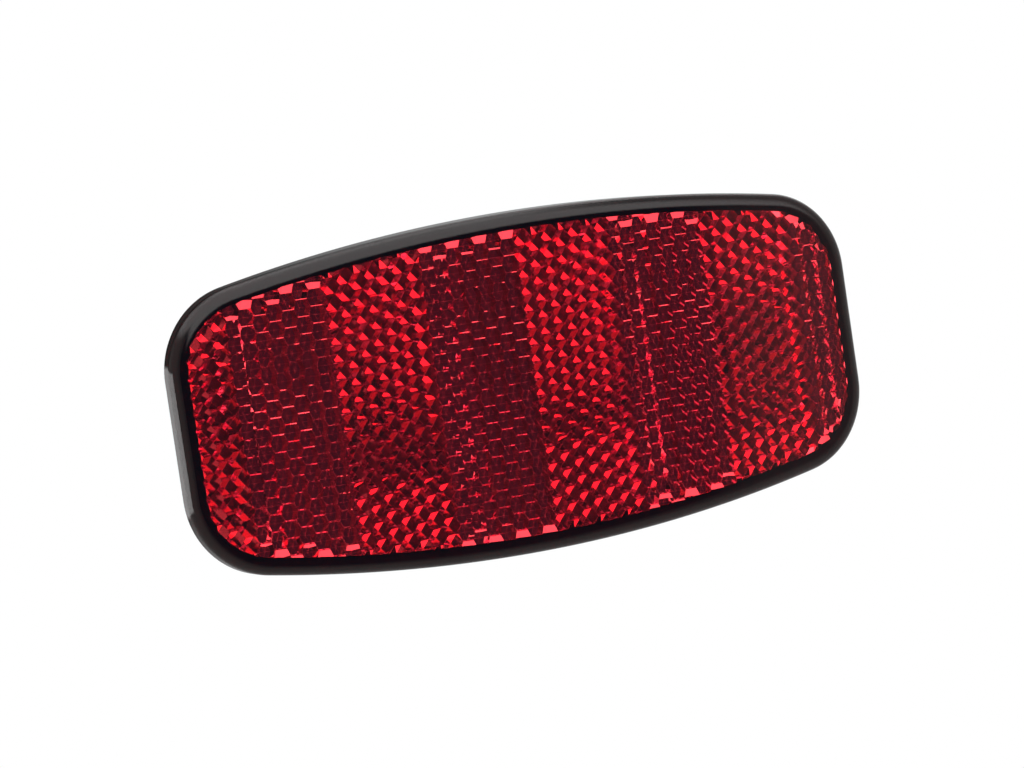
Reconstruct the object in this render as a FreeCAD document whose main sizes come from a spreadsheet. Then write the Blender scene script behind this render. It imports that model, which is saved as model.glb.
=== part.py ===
"""Rear reflector for a bicycle luggage rack.

A red lens with a gently curved front and bands of corner prisms on its inside is welded to a black back
plate. Two bolts, their heads caught between the lens and the plate, stand out of the back as mounting studs.

Frame, in millimetres: the origin lies between the two studs on the mounting face. +X runs along the width,
+Y points back towards the rack, +Z points up, and the lens looks along -Y.
"""
import FreeCAD, Part
import math
import os

import Sketcher

DRIVING_DIMENSIONS = {
    "lens_width": 96.0,
    "lens_height": 44.0,
    "edge_radius": 217.0,
    "corner_radius": 11.0,
    "face_radius": 420.0,
    "edge_round": 1.8,
    "rim_width": 2.3,
    "front_wall": 0.5,
    "prism_pitch": 2.2,
    "band_columns": 7,
    "prism_clearance": 1.0,
    "weld_groove_width": 0.9,
    "weld_groove_depth": 0.6,
    "weld_clearance": 0.1,
    "plate_inset": 0.4,
    "plate_thickness": 1.6,
    "plate_edge_round": 0.5,
    "boss_diameter": 14.0,
    "boss_edge_round": 0.6,
    "rib_inset": 6.0,
    "rib_width": 1.4,
    "rib_height": 1.6,
    "stud_spacing": 50.0,
    "stud_diameter": 5.0,
    "stud_length": 12.0,
    "stud_tip_chamfer": 0.8,
    "neck_diameter": 5.6,
    "neck_clearance": 0.1,
    "head_flats": 8.0,
    "head_height": 3.5,
    "head_clearance": 0.1,
    "head_recess": 0.1,
    "head_floor": 1.4,
}

doc = FreeCAD.newDocument("rack_reflector")


def make_sheet(dimensions):
    """Spreadsheet with one row per driving dimension: its name beside its value."""
    sheet = doc.addObject("Spreadsheet::Sheet", "dims")
    for row, (name, value) in enumerate(dimensions.items(), start=1):
        sheet.set(f"A{row}", name)
        sheet.set(f"B{row}", str(value))
        sheet.setAlias(f"B{row}", name)
    doc.recompute()
    return sheet


dims = make_sheet(DRIVING_DIMENSIONS)

# Depths behind the mounting face, as expressions of the sheet
WELD_DEPTH = "(dims.head_floor + dims.head_height + dims.head_recess)"
BOSS_HEIGHT = f"({WELD_DEPTH} - dims.plate_thickness)"
FIELD_HALF_WIDTH = "(dims.lens_width / 2 - dims.rim_width)"
FIELD_SAG = f"(dims.face_radius - sqrt(dims.face_radius ^ 2 - {FIELD_HALF_WIDTH} ^ 2))"
PRISM_DEPTH = "(dims.prism_pitch * sqrt(2 / 3))"
LENS_DEPTH = f"({FIELD_SAG} + dims.front_wall + {PRISM_DEPTH} + dims.prism_clearance)"
FRONT_DEPTH = f"({WELD_DEPTH} + {LENS_DEPTH})"
GROOVE_MIDDLE = "((dims.plate_inset + dims.rim_width) / 2)"


def value(expression):
    """Number that an expression of the sheet stands for."""
    return float(dims.evalExpression(expression))


def origin_plane(body, role):
    return next(plane for plane in body.Origin.OriginFeatures if plane.Role == role)


def new_sketch(body, name, role="XZ_Plane", depth="0"):
    """Sketch on an origin plane; on XZ it is shifted along -Y by depth."""
    sketch = body.newObject("Sketcher::SketchObject", name)
    sketch.AttachmentSupport = (origin_plane(body, role), "")
    sketch.MapMode = "FlatFace"
    sketch.setExpression("AttachmentOffset.Base.z", depth)
    return sketch


def constrain(sketch, name, kind, *arguments, expression):
    """Adds a named dimension and ties it to an expression of the sheet."""
    index = sketch.addConstraint(Sketcher.Constraint(kind, *arguments, value(expression)))
    sketch.renameConstraint(index, name)
    sketch.setExpression(f"Constraints.{name}", expression)


def arc(centre, radius, start, end):
    circle = Part.Circle(FreeCAD.Vector(*centre, 0), FreeCAD.Vector(0, 0, 1), radius)
    return Part.ArcOfCircle(circle, start, end)


def line(start, end):
    return Part.LineSegment(FreeCAD.Vector(*start, 0), FreeCAD.Vector(*end, 0))


def barrel_numbers(inset):
    """Half width, arc centre, corner centre and corner angle of the outline drawn in by inset."""
    half_width = value("dims.lens_width / 2") - inset
    arc_centre = value("dims.edge_radius - dims.lens_height / 2")
    corner_x = value("dims.lens_width / 2 - dims.corner_radius")
    reach = value("dims.edge_radius - dims.corner_radius")
    corner_z = math.sqrt(reach**2 - corner_x**2) - arc_centre
    return half_width, arc_centre, corner_x, corner_z, math.atan2(corner_z + arc_centre, corner_x)


def draw_barrel(sketch, tag, inset="0"):
    """Closed outline: long arcs at top and bottom, straight ends and four round corners."""
    depth_in = value(inset)
    half_width, arc_centre, corner_x, corner_z, turn = barrel_numbers(depth_in)
    edge = value("dims.edge_radius") - depth_in
    corner = value("dims.corner_radius") - depth_in
    loop = [
        arc((corner_x, corner_z), corner, 0, turn),
        arc((0, -arc_centre), edge, turn, math.pi - turn),
        arc((-corner_x, corner_z), corner, math.pi - turn, math.pi),
        line((-half_width, corner_z), (-half_width, -corner_z)),
        arc((-corner_x, -corner_z), corner, math.pi, math.pi + turn),
        arc((0, arc_centre), edge, math.pi + turn, 2 * math.pi - turn),
        arc((corner_x, -corner_z), corner, -turn, 0),
        line((half_width, -corner_z), (half_width, corner_z)),
    ]
    first = sketch.addGeometry(loop)[0]
    pieces = [first + step for step in range(len(loop))]
    for piece, following in zip(pieces, pieces[1:] + pieces[:1]):
        sketch.addConstraint(Sketcher.Constraint("Tangent", piece, 2, following, 1))
    corner_a, top, corner_b, left, corner_c, bottom, corner_d, right = pieces
    for other in (corner_b, corner_c, corner_d):
        sketch.addConstraint(Sketcher.Constraint("Equal", corner_a, other))
    sketch.addConstraint(Sketcher.Constraint("Equal", top, bottom))
    for side in (left, right):
        sketch.addConstraint(Sketcher.Constraint("Vertical", side))
    for edge_arc in (top, bottom):
        sketch.addConstraint(Sketcher.Constraint("PointOnObject", edge_arc, 3, -2))
    constrain(sketch, f"{tag}_edge", "Radius", top, expression=f"dims.edge_radius - {inset}")
    constrain(sketch, f"{tag}_corner", "Radius", corner_a, expression=f"dims.corner_radius - {inset}")
    half = f"dims.lens_width / 2 - {inset}"
    constrain(sketch, f"{tag}_right", "DistanceX", -1, 1, right, 1, expression=half)
    constrain(sketch, f"{tag}_left", "DistanceX", left, 1, -1, 1, expression=half)
    centre = "dims.edge_radius - dims.lens_height / 2"
    constrain(sketch, f"{tag}_top", "DistanceY", top, 3, -1, 1, expression=centre)
    constrain(sketch, f"{tag}_bottom", "DistanceY", -1, 1, bottom, 3, expression=centre)


def inside_barrel(x, z, inset):
    """Whether a point lies within the outline drawn in by inset."""
    half_width, arc_centre, corner_x, corner_z, turn = barrel_numbers(inset)
    past_x, past_z = abs(x) - corner_x, abs(z) - corner_z
    if past_x > 0 and 0 < math.atan2(past_z, past_x) < turn:
        return math.hypot(past_x, past_z) <= value("dims.corner_radius") - inset
    return abs(x) <= half_width and math.hypot(x, abs(z) + arc_centre) <= value("dims.edge_radius") - inset


def draw_circle(sketch, tag, side, diameter):
    """Circle on the axis of the stud on one side, -1 left or +1 right."""
    reach = value("dims.stud_spacing / 2")
    circle = Part.Circle(FreeCAD.Vector(side * reach, 0, 0), FreeCAD.Vector(0, 0, 1), value(diameter) / 2)
    index = sketch.addGeometry(circle)
    sketch.addConstraint(Sketcher.Constraint("PointOnObject", index, 3, -1))
    ends = (-1, 1, index, 3) if side > 0 else (index, 3, -1, 1)
    constrain(sketch, f"{tag}_reach", "DistanceX", *ends, expression="dims.stud_spacing / 2")
    constrain(sketch, f"{tag}_diameter", "Diameter", index, expression=diameter)
    return index


def draw_hexagon(sketch, tag, side, flats):
    """Hexagon on the axis of one stud, two of its flats level."""
    guide = draw_circle(sketch, tag, side, f"{flats} * 2 / sqrt(3)")
    sketch.toggleConstruction(guide)
    centre = FreeCAD.Vector(side * value("dims.stud_spacing / 2"), 0, 0)
    reach = value(flats) / math.sqrt(3)
    corners = [
        centre + FreeCAD.Vector(reach * math.cos(turn), reach * math.sin(turn), 0)
        for turn in (math.radians(60 * step) for step in range(6))
    ]
    edges = [Part.LineSegment(a, b) for a, b in zip(corners, corners[1:] + corners[:1])]
    first = sketch.addGeometry(edges)[0]
    pieces = [first + step for step in range(len(edges))]
    for piece, following in zip(pieces, pieces[1:] + pieces[:1]):
        sketch.addConstraint(Sketcher.Constraint("Coincident", piece, 2, following, 1))
        sketch.addConstraint(Sketcher.Constraint("PointOnObject", piece, 1, guide))
    for piece in pieces[1:]:
        sketch.addConstraint(Sketcher.Constraint("Equal", pieces[0], piece))
    sketch.addConstraint(Sketcher.Constraint("Horizontal", pieces[1]))


def extrude(body, kind, name, sketch, length, reverse=False):
    """Pad or Pocket of a sketch; the volume must change."""
    before = body.Shape.Volume if body.Tip else 0.0
    feature = body.newObject(f"PartDesign::{kind}", name)
    feature.Profile = sketch
    feature.Reversed = reverse
    feature.setExpression("Length", length)
    doc.recompute()
    if abs(body.Shape.Volume - before) < 1e-6:
        raise RuntimeError(f"{name} changes nothing")
    return feature


def edges_where(feature, test):
    """Names of the feature's edges whose middle point passes the test."""
    names = []
    for number, edge in enumerate(feature.Shape.Edges, start=1):
        middle = edge.valueAt((edge.FirstParameter + edge.LastParameter) / 2)
        if test(middle, edge):
            names.append(f"Edge{number}")
    return names


def round_edges(body, name, feature, radius, test):
    fillet = body.newObject("PartDesign::Fillet", name)
    fillet.Base = (feature, edges_where(feature, test))
    fillet.setExpression("Radius", radius)
    doc.recompute()
    return fillet


def make_lens_blank():
    """Lens filled solid: barrel outline, curved front, rounded front edge and weld groove at the back."""
    body = doc.addObject("PartDesign::Body", "lens_blank")
    outline = new_sketch(body, "lens_outline", depth=WELD_DEPTH)
    draw_barrel(outline, "outer")
    extrude(body, "Pad", "lens_pad", outline, LENS_DEPTH)

    crown = new_sketch(body, "crown_profile", "XY_Plane")
    draw_crown(crown)
    cut = body.newObject("PartDesign::Pocket", "crown_cut")
    cut.Profile = crown
    cut.SideType = "Symmetric"
    cut.setExpression("Length", "dims.lens_height * 2")
    doc.recompute()

    axis_y = value(f"dims.face_radius - {FRONT_DEPTH}")
    face_radius = value("dims.face_radius")

    def on_crown(middle, edge):
        return abs(math.hypot(middle.x, middle.y - axis_y) - face_radius) < 1e-3

    round_edges(body, "front_edge_round", cut, "dims.edge_round", on_crown)
    groove = new_sketch(body, "weld_groove", depth=WELD_DEPTH)
    draw_barrel(groove, "groove_out", f"({GROOVE_MIDDLE} - dims.weld_groove_width / 2)")
    draw_barrel(groove, "groove_in", f"({GROOVE_MIDDLE} + dims.weld_groove_width / 2)")
    extrude(body, "Pocket", "weld_groove_cut", groove, "dims.weld_groove_depth", reverse=True)
    return body


def draw_crown(sketch):
    """Area in front of the arc that the lens front follows, seen from above."""
    radius = value("dims.face_radius")
    centre = value(f"dims.face_radius - {FRONT_DEPTH}")
    reach = value("dims.lens_width * 0.6")
    swing = math.asin(reach / radius)
    end_y = centre - math.sqrt(radius**2 - reach**2)
    front_y = value(f"-{FRONT_DEPTH} - dims.lens_height")
    pieces = sketch.addGeometry([
        arc((0, centre), radius, 1.5 * math.pi - swing, 1.5 * math.pi + swing),
        line((reach, end_y), (reach, front_y)),
        line((reach, front_y), (-reach, front_y)),
        line((-reach, front_y), (-reach, end_y)),
    ])
    bow, right, front, left = pieces
    for piece, following in ((right, front), (front, left)):
        sketch.addConstraint(Sketcher.Constraint("Coincident", piece, 2, following, 1))
    sketch.addConstraint(Sketcher.Constraint("Coincident", bow, 2, right, 1))
    sketch.addConstraint(Sketcher.Constraint("Coincident", left, 2, bow, 1))
    for side in (left, right):
        sketch.addConstraint(Sketcher.Constraint("Vertical", side))
    sketch.addConstraint(Sketcher.Constraint("Horizontal", front))
    sketch.addConstraint(Sketcher.Constraint("PointOnObject", bow, 3, -2))
    constrain(sketch, "bow_radius", "Radius", bow, expression="dims.face_radius")
    centre_height = f"dims.face_radius - {FRONT_DEPTH}"
    constrain(sketch, "bow_centre", "DistanceY", -1, 1, bow, 3, expression=centre_height)
    constrain(sketch, "right_reach", "DistanceX", -1, 1, right, 1, expression="dims.lens_width * 0.6")
    constrain(sketch, "left_reach", "DistanceX", left, 1, -1, 1, expression="dims.lens_width * 0.6")
    front_reach = f"{FRONT_DEPTH} + dims.lens_height"
    constrain(sketch, "front_reach", "DistanceY", front, 1, -1, 1, expression=front_reach)


def make_cavity():
    """Space behind the front wall and inside the rim, open at the back."""
    block = doc.addObject("PartDesign::Body", "cavity_block")
    outline = new_sketch(block, "cavity_outline", depth=WELD_DEPTH)
    draw_barrel(outline, "inner", "dims.rim_width")
    pad = extrude(block, "Pad", "cavity_pad", outline, LENS_DEPTH)
    pad.SideType = "Two sides"
    pad.setExpression("Length2", "dims.plate_thickness")

    drum = doc.addObject("Part::Cylinder", "cavity_drum")
    drum.setExpression("Radius", "dims.face_radius - dims.front_wall")
    drum.setExpression("Height", "dims.lens_height * 2")
    drum.setExpression("Placement.Base.y", f"dims.face_radius - {FRONT_DEPTH}")
    drum.setExpression("Placement.Base.z", "-dims.lens_height")

    cavity = doc.addObject("Part::Common", "cavity")
    cavity.Base = block
    cavity.Tool = drum
    doc.recompute()
    return cavity


class PrismField:
    """Hexagonal corner prisms in upright bands, each band a flat bundle that is set back with the curved front.

    Every prism is the corner of a cube seen along its diagonal: three square facets fall from a peak to three
    corners one step down and three corners two steps down. Bands turn by half a turn from one to the next.
    """

    def __init__(self):
        self.pitch = value("dims.prism_pitch")
        self.step = value(PRISM_DEPTH) / 2
        self.column_width = self.pitch * math.sqrt(3) / 2
        self.corner_reach = self.pitch / math.sqrt(3)
        self.columns_per_band = int(value("dims.band_columns"))
        self.field_half_width = value(FIELD_HALF_WIDTH)
        self.base_y = value(f"-{FRONT_DEPTH} - dims.front_wall")
        self.cells = self.place_cells()

    def place_cells(self):
        """Column and half-row numbers of every prism that reaches into the cavity."""
        columns = math.ceil(self.field_half_width / self.column_width) + 1
        rows = math.ceil(value("dims.lens_height") / self.pitch)
        inset = value("dims.rim_width") - self.corner_reach
        cells = set()
        for column in range(-columns, columns):
            for row in range(-rows, rows + 1):
                half_row = 2 * row + (column + 1) % 2
                if inside_barrel(*self.centre((column, half_row)), inset):
                    cells.add((column, half_row))
        return cells

    def centre(self, cell):
        column, half_row = cell
        return (column + 0.5) * self.column_width, half_row * self.pitch / 2

    def band(self, cell):
        return cell[0] // self.columns_per_band

    def pit_y(self, band):
        """Depth of a band's lowest corners: the front wall behind the front, at the band's outer edge."""
        outer = max(abs(band), abs(band + 1)) * self.columns_per_band * self.column_width
        outer = min(outer, self.field_half_width)
        radius = value("dims.face_radius")
        sag = radius - math.sqrt(radius**2 - outer**2)
        return value(f"dims.front_wall - {FRONT_DEPTH}") + sag

    def corner(self, cell, number):
        """Corner of a prism's outline; odd and even corners differ in height by one step."""
        x, z = self.centre(cell)
        turn = math.radians(60 * number)
        raised = (number + self.band(cell)) % 2
        y = self.pit_y(self.band(cell)) + raised * self.step
        return FreeCAD.Vector(
            x + self.corner_reach * math.cos(turn), y, z + self.corner_reach * math.sin(turn)
        )

    def peak(self, cell):
        x, z = self.centre(cell)
        return FreeCAD.Vector(x, self.pit_y(self.band(cell)) + 2 * self.step, z)

    def neighbour(self, cell, side):
        """Prism across the edge from corner side to corner side + 1."""
        column_step, half_row_step = ((1, 1), (0, 2), (-1, 1), (-1, -1), (0, -2), (1, -1))[side]
        return cell[0] + column_step, cell[1] + half_row_step

    def crossing(self, cell, side):
        """Point where this prism's edge crosses the edge of a prism in the next band, if they cross."""
        other = self.neighbour(cell, side)
        if other not in self.cells or self.band(other) == self.band(cell):
            return None
        start, end = self.corner(cell, side), self.corner(cell, side + 1)
        gap_start = start.y - self.corner(other, side + 4).y
        gap_end = end.y - self.corner(other, side + 3).y
        if gap_start * gap_end > -1e-9:
            return None
        share = gap_start / (gap_start - gap_end)
        return start + (end - start) * share

    def facets(self, cell):
        """Three squares from the peak, with any crossing point along their edges."""
        first = (self.band(cell) + 1) % 2
        for number in (first, first + 2, first + 4):
            ring = [self.corner(cell, number), self.crossing(cell, number % 6)]
            ring += [self.corner(cell, number + 1), self.crossing(cell, (number + 1) % 6)]
            ring += [self.corner(cell, number + 2), self.peak(cell)]
            yield [point for point in ring if point is not None]

    def walls(self, cell, side):
        """Upright faces below one edge of a prism, down to the next band or to the base."""
        start, end = self.corner(cell, side), self.corner(cell, side + 1)
        other = self.neighbour(cell, side)
        if other not in self.cells:
            foot_start = FreeCAD.Vector(start.x, self.base_y, start.z)
            foot_end = FreeCAD.Vector(end.x, self.base_y, end.z)
            return [[start, foot_start, foot_end, end]]
        if self.band(other) <= self.band(cell):
            return []
        other_start, other_end = self.corner(other, side + 4), self.corner(other, side + 3)
        meeting = self.crossing(cell, side)
        if meeting is None:
            return [[start, other_start, other_end, end]]
        return [[start, other_start, meeting], [meeting, other_end, end]]

    def base_outline(self):
        """Outline of all prisms together, on the base plane."""
        edges = []
        for cell in self.cells:
            for side in range(6):
                if self.neighbour(cell, side) not in self.cells:
                    ends = self.corner(cell, side), self.corner(cell, side + 1)
                    edges.append(Part.makeLine(*(FreeCAD.Vector(p.x, self.base_y, p.z) for p in ends)))
        return Part.Wire(Part.__sortEdges__(edges))

    def solid(self):
        polygons = [facet for cell in self.cells for facet in self.facets(cell)]
        polygons += [wall for cell in self.cells for side in range(6) for wall in self.walls(cell, side)]
        faces = [Part.Face(Part.makePolygon(points + points[:1])) for points in polygons]
        shell = Part.Shell(faces + [Part.Face(self.base_outline())])
        shell.sewShape()
        solid = Part.Solid(shell)
        if solid.Volume < 0:
            solid.reverse()
        return solid


def make_lens(blank, cavity):
    """Lens moulding: the blank, less the air behind its prisms."""
    prisms = doc.addObject("Part::Feature", "prism_field")
    prisms.Shape = PrismField().solid()
    air = doc.addObject("Part::Cut", "air_behind_prisms")
    air.Base = cavity
    air.Tool = prisms
    lens = doc.addObject("Part::Cut", "lens")
    lens.Base = blank
    lens.Tool = air
    lens.Label = "lens"
    doc.recompute()
    return lens


def make_back_plate():
    """Back plate: flat panel with a weld tongue in front, and bosses and ribs behind."""
    body = doc.addObject("PartDesign::Body", "back_plate")
    body.Label = "back_plate"
    panel = new_sketch(body, "panel_outline", depth=BOSS_HEIGHT)
    draw_barrel(panel, "panel", "dims.plate_inset")
    pad = extrude(body, "Pad", "panel_pad", panel, "dims.plate_thickness")
    back_y = -value(BOSS_HEIGHT)

    def on_back_rim(middle, edge):
        return abs(middle.y - back_y) < 1e-6

    round_edges(body, "panel_edge_round", pad, "dims.plate_edge_round", on_back_rim)

    tongue = new_sketch(body, "tongue_outline", depth=WELD_DEPTH)
    half_tongue = "(dims.weld_groove_width / 2 - dims.weld_clearance)"
    draw_barrel(tongue, "tongue_out", f"({GROOVE_MIDDLE} - {half_tongue})")
    draw_barrel(tongue, "tongue_in", f"({GROOVE_MIDDLE} + {half_tongue})")
    extrude(body, "Pad", "weld_tongue", tongue, "dims.weld_groove_depth - dims.weld_clearance")

    ribs = new_sketch(body, "rib_outline", depth=BOSS_HEIGHT)
    draw_barrel(ribs, "rib_out", "dims.rib_inset")
    draw_barrel(ribs, "rib_in", "(dims.rib_inset + dims.rib_width)")
    extrude(body, "Pad", "rim_rib", ribs, "dims.rib_height", reverse=True)
    bar = new_sketch(body, "bar_outline", depth=BOSS_HEIGHT)
    draw_bar(bar)
    extrude(body, "Pad", "middle_rib", bar, "dims.rib_height", reverse=True)

    bosses = new_sketch(body, "boss_circles", depth=BOSS_HEIGHT)
    for side, tag in ((-1, "left"), (1, "right")):
        draw_circle(bosses, tag, side, "dims.boss_diameter")
    boss_pad = extrude(body, "Pad", "bosses", bosses, BOSS_HEIGHT, reverse=True)

    def on_boss_rim(middle, edge):
        return abs(middle.y) < 1e-6

    round_edges(body, "boss_edge_round", boss_pad, "dims.boss_edge_round", on_boss_rim)

    pockets = new_sketch(body, "head_pockets", depth=WELD_DEPTH)
    for side, tag in ((-1, "left"), (1, "right")):
        draw_hexagon(pockets, tag, side, "(dims.head_flats + 2 * dims.head_clearance)")
    extrude(body, "Pocket", "head_pocket_cut", pockets, "dims.head_height + dims.head_recess")

    holes = new_sketch(body, "neck_holes", depth=WELD_DEPTH)
    for side, tag in ((-1, "left"), (1, "right")):
        draw_circle(holes, tag, side, "(dims.neck_diameter + 2 * dims.neck_clearance)")
    extrude(body, "Pocket", "neck_hole_cut", holes, f"{WELD_DEPTH} + dims.stud_length")
    return body


def draw_bar(sketch):
    """Level rib through both bosses, from one side of the rim rib to the other."""
    reach = "(dims.lens_width / 2 - dims.rib_inset - dims.rib_width / 2)"
    x, z = value(reach), value("dims.rib_width / 2")
    corners = [(x, z), (-x, z), (-x, -z), (x, -z)]
    pieces = sketch.addGeometry([line(a, b) for a, b in zip(corners, corners[1:] + corners[:1])])
    for piece, following in zip(pieces, pieces[1:] + pieces[:1]):
        sketch.addConstraint(Sketcher.Constraint("Coincident", piece, 2, following, 1))
    top, left, bottom, right = pieces
    for level in (top, bottom):
        sketch.addConstraint(Sketcher.Constraint("Horizontal", level))
    for upright in (left, right):
        sketch.addConstraint(Sketcher.Constraint("Vertical", upright))
    constrain(sketch, "bar_right", "DistanceX", -1, 1, top, 1, expression=reach)
    constrain(sketch, "bar_left", "DistanceX", bottom, 1, -1, 1, expression=reach)
    constrain(sketch, "bar_top", "DistanceY", -1, 1, top, 1, expression="dims.rib_width / 2")
    constrain(sketch, "bar_bottom", "DistanceY", bottom, 1, -1, 1, expression="dims.rib_width / 2")


def make_mounting_bolts():
    """Two bolts: a hexagon head in the plate's pocket, a plain neck through its hole and a stud behind it."""
    bolt = doc.addObject("PartDesign::Body", "right_bolt")
    head = new_sketch(bolt, "head_outline", depth="dims.head_floor")
    draw_hexagon(head, "head", 1, "dims.head_flats")
    extrude(bolt, "Pad", "head_pad", head, "dims.head_height")
    neck = new_sketch(bolt, "neck_outline", depth="dims.head_floor")
    draw_circle(neck, "neck", 1, "dims.neck_diameter")
    extrude(bolt, "Pad", "neck_pad", neck, "dims.head_floor", reverse=True)
    stud = new_sketch(bolt, "stud_outline")
    draw_circle(stud, "stud", 1, "dims.stud_diameter")
    stud_pad = extrude(bolt, "Pad", "stud_pad", stud, "dims.stud_length", reverse=True)
    tip_y = value("dims.stud_length")

    def on_tip(middle, edge):
        return abs(middle.y - tip_y) < 1e-6

    tip = bolt.newObject("PartDesign::Chamfer", "tip_chamfer")
    tip.Base = (stud_pad, edges_where(stud_pad, on_tip))
    tip.setExpression("Size", "dims.stud_tip_chamfer")
    doc.recompute()

    left = doc.addObject("Part::Mirroring", "left_bolt")
    left.Source = bolt
    left.Normal = FreeCAD.Vector(1, 0, 0)
    pair = doc.addObject("Part::Compound", "mounting_bolts")
    pair.Label = "mounting_bolts"
    pair.Links = [bolt, left]
    doc.recompute()
    return pair


def check_document():
    """Stops on any object that failed, before a file is written."""
    for item in doc.Objects:
        if {"Invalid", "Error"} & set(item.State):
            raise RuntimeError(f"{item.Name}: {item.State}")


def export(parts):
    os.makedirs("parts", exist_ok=True)
    for part in parts:
        if part.Shape.isNull() or not part.Shape.isValid():
            raise RuntimeError(f"{part.Label} has no valid shape")
    for part in parts:
        part.Shape.exportStep(f"parts/{part.Label}.step")
        print(part.Label, len(part.Shape.Solids), "solids,", round(part.Shape.Volume, 2), "mm3")


lens = make_lens(make_lens_blank(), make_cavity())
back_plate = make_back_plate()
mounting_bolts = make_mounting_bolts()
check_document()
export([lens, back_plate, mounting_bolts])
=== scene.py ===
# %% [markdown]
# # A red rack reflector
#
# The object is a wide red reflector for the rear of a bicycle luggage rack. It is made of a
# transparent red lens whose inside is moulded into hundreds of corner prisms, a black back plate
# welded to the lens, and two bolts caught between them that stand out of the back.
#
# What makes it look like a reflector is optics, not paint. Light that enters the lens is thrown
# about by the prisms and leaves in only a few directions. So this lesson models the prisms as they
# really are, gives them clear red plastic, and lets the renderer bend the light.
#
# The first step loads the part's CAD solids. The pieces made after it take their place.

# %% Load the frame
import math

import bmesh
import bpy
import numpy as np
from mathutils import Matrix, Vector


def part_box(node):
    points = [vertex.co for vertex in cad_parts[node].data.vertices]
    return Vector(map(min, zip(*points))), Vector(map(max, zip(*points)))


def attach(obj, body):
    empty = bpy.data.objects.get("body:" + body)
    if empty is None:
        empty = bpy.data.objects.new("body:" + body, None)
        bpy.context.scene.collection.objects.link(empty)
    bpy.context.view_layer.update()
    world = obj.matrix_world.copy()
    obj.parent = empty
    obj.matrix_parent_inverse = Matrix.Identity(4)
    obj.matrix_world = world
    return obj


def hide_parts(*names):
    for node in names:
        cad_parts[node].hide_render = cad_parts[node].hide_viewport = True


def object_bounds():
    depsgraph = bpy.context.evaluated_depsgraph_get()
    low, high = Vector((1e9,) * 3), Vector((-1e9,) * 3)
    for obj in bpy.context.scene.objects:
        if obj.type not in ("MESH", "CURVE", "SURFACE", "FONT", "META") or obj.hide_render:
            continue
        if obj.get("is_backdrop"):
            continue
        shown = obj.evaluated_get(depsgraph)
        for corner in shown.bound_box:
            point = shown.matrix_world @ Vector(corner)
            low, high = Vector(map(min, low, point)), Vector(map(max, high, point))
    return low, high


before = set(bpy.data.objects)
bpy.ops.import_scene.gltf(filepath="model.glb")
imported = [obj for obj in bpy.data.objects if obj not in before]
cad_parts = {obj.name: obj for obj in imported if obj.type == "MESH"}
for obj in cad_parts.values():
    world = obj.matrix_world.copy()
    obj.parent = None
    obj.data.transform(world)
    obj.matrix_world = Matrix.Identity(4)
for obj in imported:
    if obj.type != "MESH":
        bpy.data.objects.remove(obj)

cad_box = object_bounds()
print("CAD nodes:", ", ".join(sorted(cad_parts)))

# %% [markdown]
# ## Sizes
#
# All sizes are in metres and follow the solids that were just loaded. The lens's box gives its
# width, height and depth; the rest are the radii and wall thicknesses of the moulding.

# %% Sizes
MM = 0.001
lens_low, lens_high = (np.array(corner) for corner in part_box("lens"))
half_width = lens_high[0]
half_height = min(-lens_low[2], lens_high[2])
weld_y = lens_high[1]
front_y = lens_low[1]
edge_radius = 217 * MM
corner_radius = 11 * MM
face_radius = 420 * MM
front_edge_round = 1.8 * MM
rim_width = 2.3 * MM
front_wall = 0.5 * MM
lens_size = np.array([2 * half_width, 2 * half_height, weld_y - front_y])
print("lens width, height and depth, mm:", (lens_size / MM).round(2))


# %% [markdown]
# ## The outline
#
# Seen from the front the lens is a barrel: long shallow arcs at top and bottom, short straight ends
# and round corners. Every other outline on the object is the same one moved inwards along its
# normals, which keeps arcs as arcs and makes neighbouring rings match point for point.
#
# The samples are kept as a grid boundary: an upright row of points on each end and a chain of
# points over the top and bottom. That lets one grid fill the inside without a pole or a seam.

# %% Outline of the lens
END_ROWS = 33
CORNER_STEPS = 28
ARC_STEPS = 120

arc_centre = edge_radius - half_height
corner_x = half_width - corner_radius
corner_z = math.sqrt((edge_radius - corner_radius) ** 2 - corner_x**2) - arc_centre
corner_turn = math.atan2(corner_z + arc_centre, corner_x)


def top_chain():
    """Points and outward normals over the top, right to left: corner arc, long arc, corner arc.

    A point on an arc is its centre plus the radius along the turning angle, and that direction is
    the normal.
    """
    corner = np.linspace(0, corner_turn, CORNER_STEPS + 1)[:-1]
    long_arc = np.linspace(corner_turn, math.pi - corner_turn, ARC_STEPS + 1)
    angle = np.concatenate([corner, long_arc, math.pi - corner[::-1]])
    normal = np.stack([np.cos(angle), np.sin(angle)], axis=1)
    count = len(corner)
    centre = np.zeros_like(normal)
    centre[:count] = corner_x, corner_z
    centre[count:-count] = 0, -arc_centre
    centre[-count:] = -corner_x, corner_z
    radius = np.full((len(angle), 1), corner_radius)
    radius[count:-count] = edge_radius
    return centre + radius * normal, normal


def ease(count):
    """Values from -1 to 1 that crowd towards both ends, as a sine does."""
    return np.sin(np.linspace(-math.pi / 2, math.pi / 2, count))


def ring(inset):
    """Closed outline moved in by inset, anticlockwise from the bottom of the right end."""
    point, normal = top_chain()
    top = point - inset * normal
    side = np.stack([np.full(END_ROWS, half_width - inset), corner_z * ease(END_ROWS)], axis=1)
    flip = np.array([1, -1])
    return np.concatenate([side[:-1], top[:-1], -side[:-1], (top * flip)[::-1][:-1]])


def fill(inset):
    """Grid inside the outline: column i joins top point i to its mirror image, in END_ROWS steps."""
    point, normal = top_chain()
    top = point - inset * normal
    x = np.repeat(top[:, :1], END_ROWS, axis=1)
    z = top[:, 1:] * ease(END_ROWS)[None, :]
    return x, z


print("outline samples:", len(ring(0)))


# %% [markdown]
# ## Meshes from arrays
#
# A surface on a grid is an array of points, rows by columns by three. Quads join each point to its
# neighbours, so one helper turns any such array into vertices and faces. Several grids that share
# edges become one closed mesh when the points that coincide are merged.

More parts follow.
